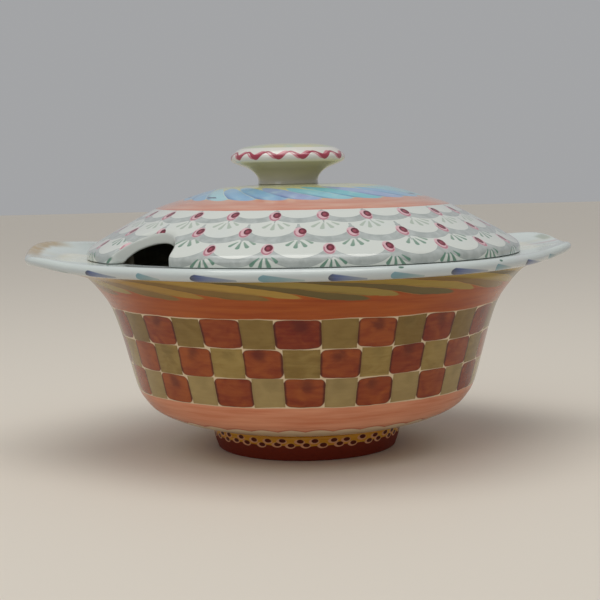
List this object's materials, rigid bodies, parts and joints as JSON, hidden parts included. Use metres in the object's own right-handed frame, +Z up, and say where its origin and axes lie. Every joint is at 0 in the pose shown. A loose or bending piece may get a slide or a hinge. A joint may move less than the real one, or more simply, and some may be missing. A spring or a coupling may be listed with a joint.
{
  "type": "covered tureen",
  "caption": "Round earthenware tureen with a turned foot, fluted lug ears and a domed lift-off lid with a ladle notch and mushroom knob.",
  "frame": {"origin": "on the table, at the centre of the foot ring's underside, which is on the bowl's axis", "axes": "+X towards the right ear (the front shows the ladle notch on the left), +Z up, -Y towards the front"},
  "size_m": [0.3882, 0.3178, 0.213],
  "materials": {
    "bowl_glaze": "hand-painted tin glaze in bands and checks, glossy",
    "rim_glaze": "off-white tin glaze with brushed strokes, glossy",
    "lid_glaze": "off-white tin glaze painted with scales and buds, glossy",
    "knob_glaze": "off-white tin glaze with a red wavy line, glossy",
    "foot_terracotta": "unglazed fired red clay, matt"
  },
  "bodies": {
    "base": {"bowl": "bowl_glaze", "foot_ring": "foot_terracotta", "ear_left": "rim_glaze", "ear_right": "rim_glaze"},
    "lid": {"lid": "lid_glaze", "lid_flange": "lid_glaze", "knob": "knob_glaze"}
  },
  "joints": [
    {"name": "lid_lift", "type": "slide", "parent": "base", "child": "lid", "axis": [0, 0, 1], "range_m": [0, 0.12]}
  ]
}
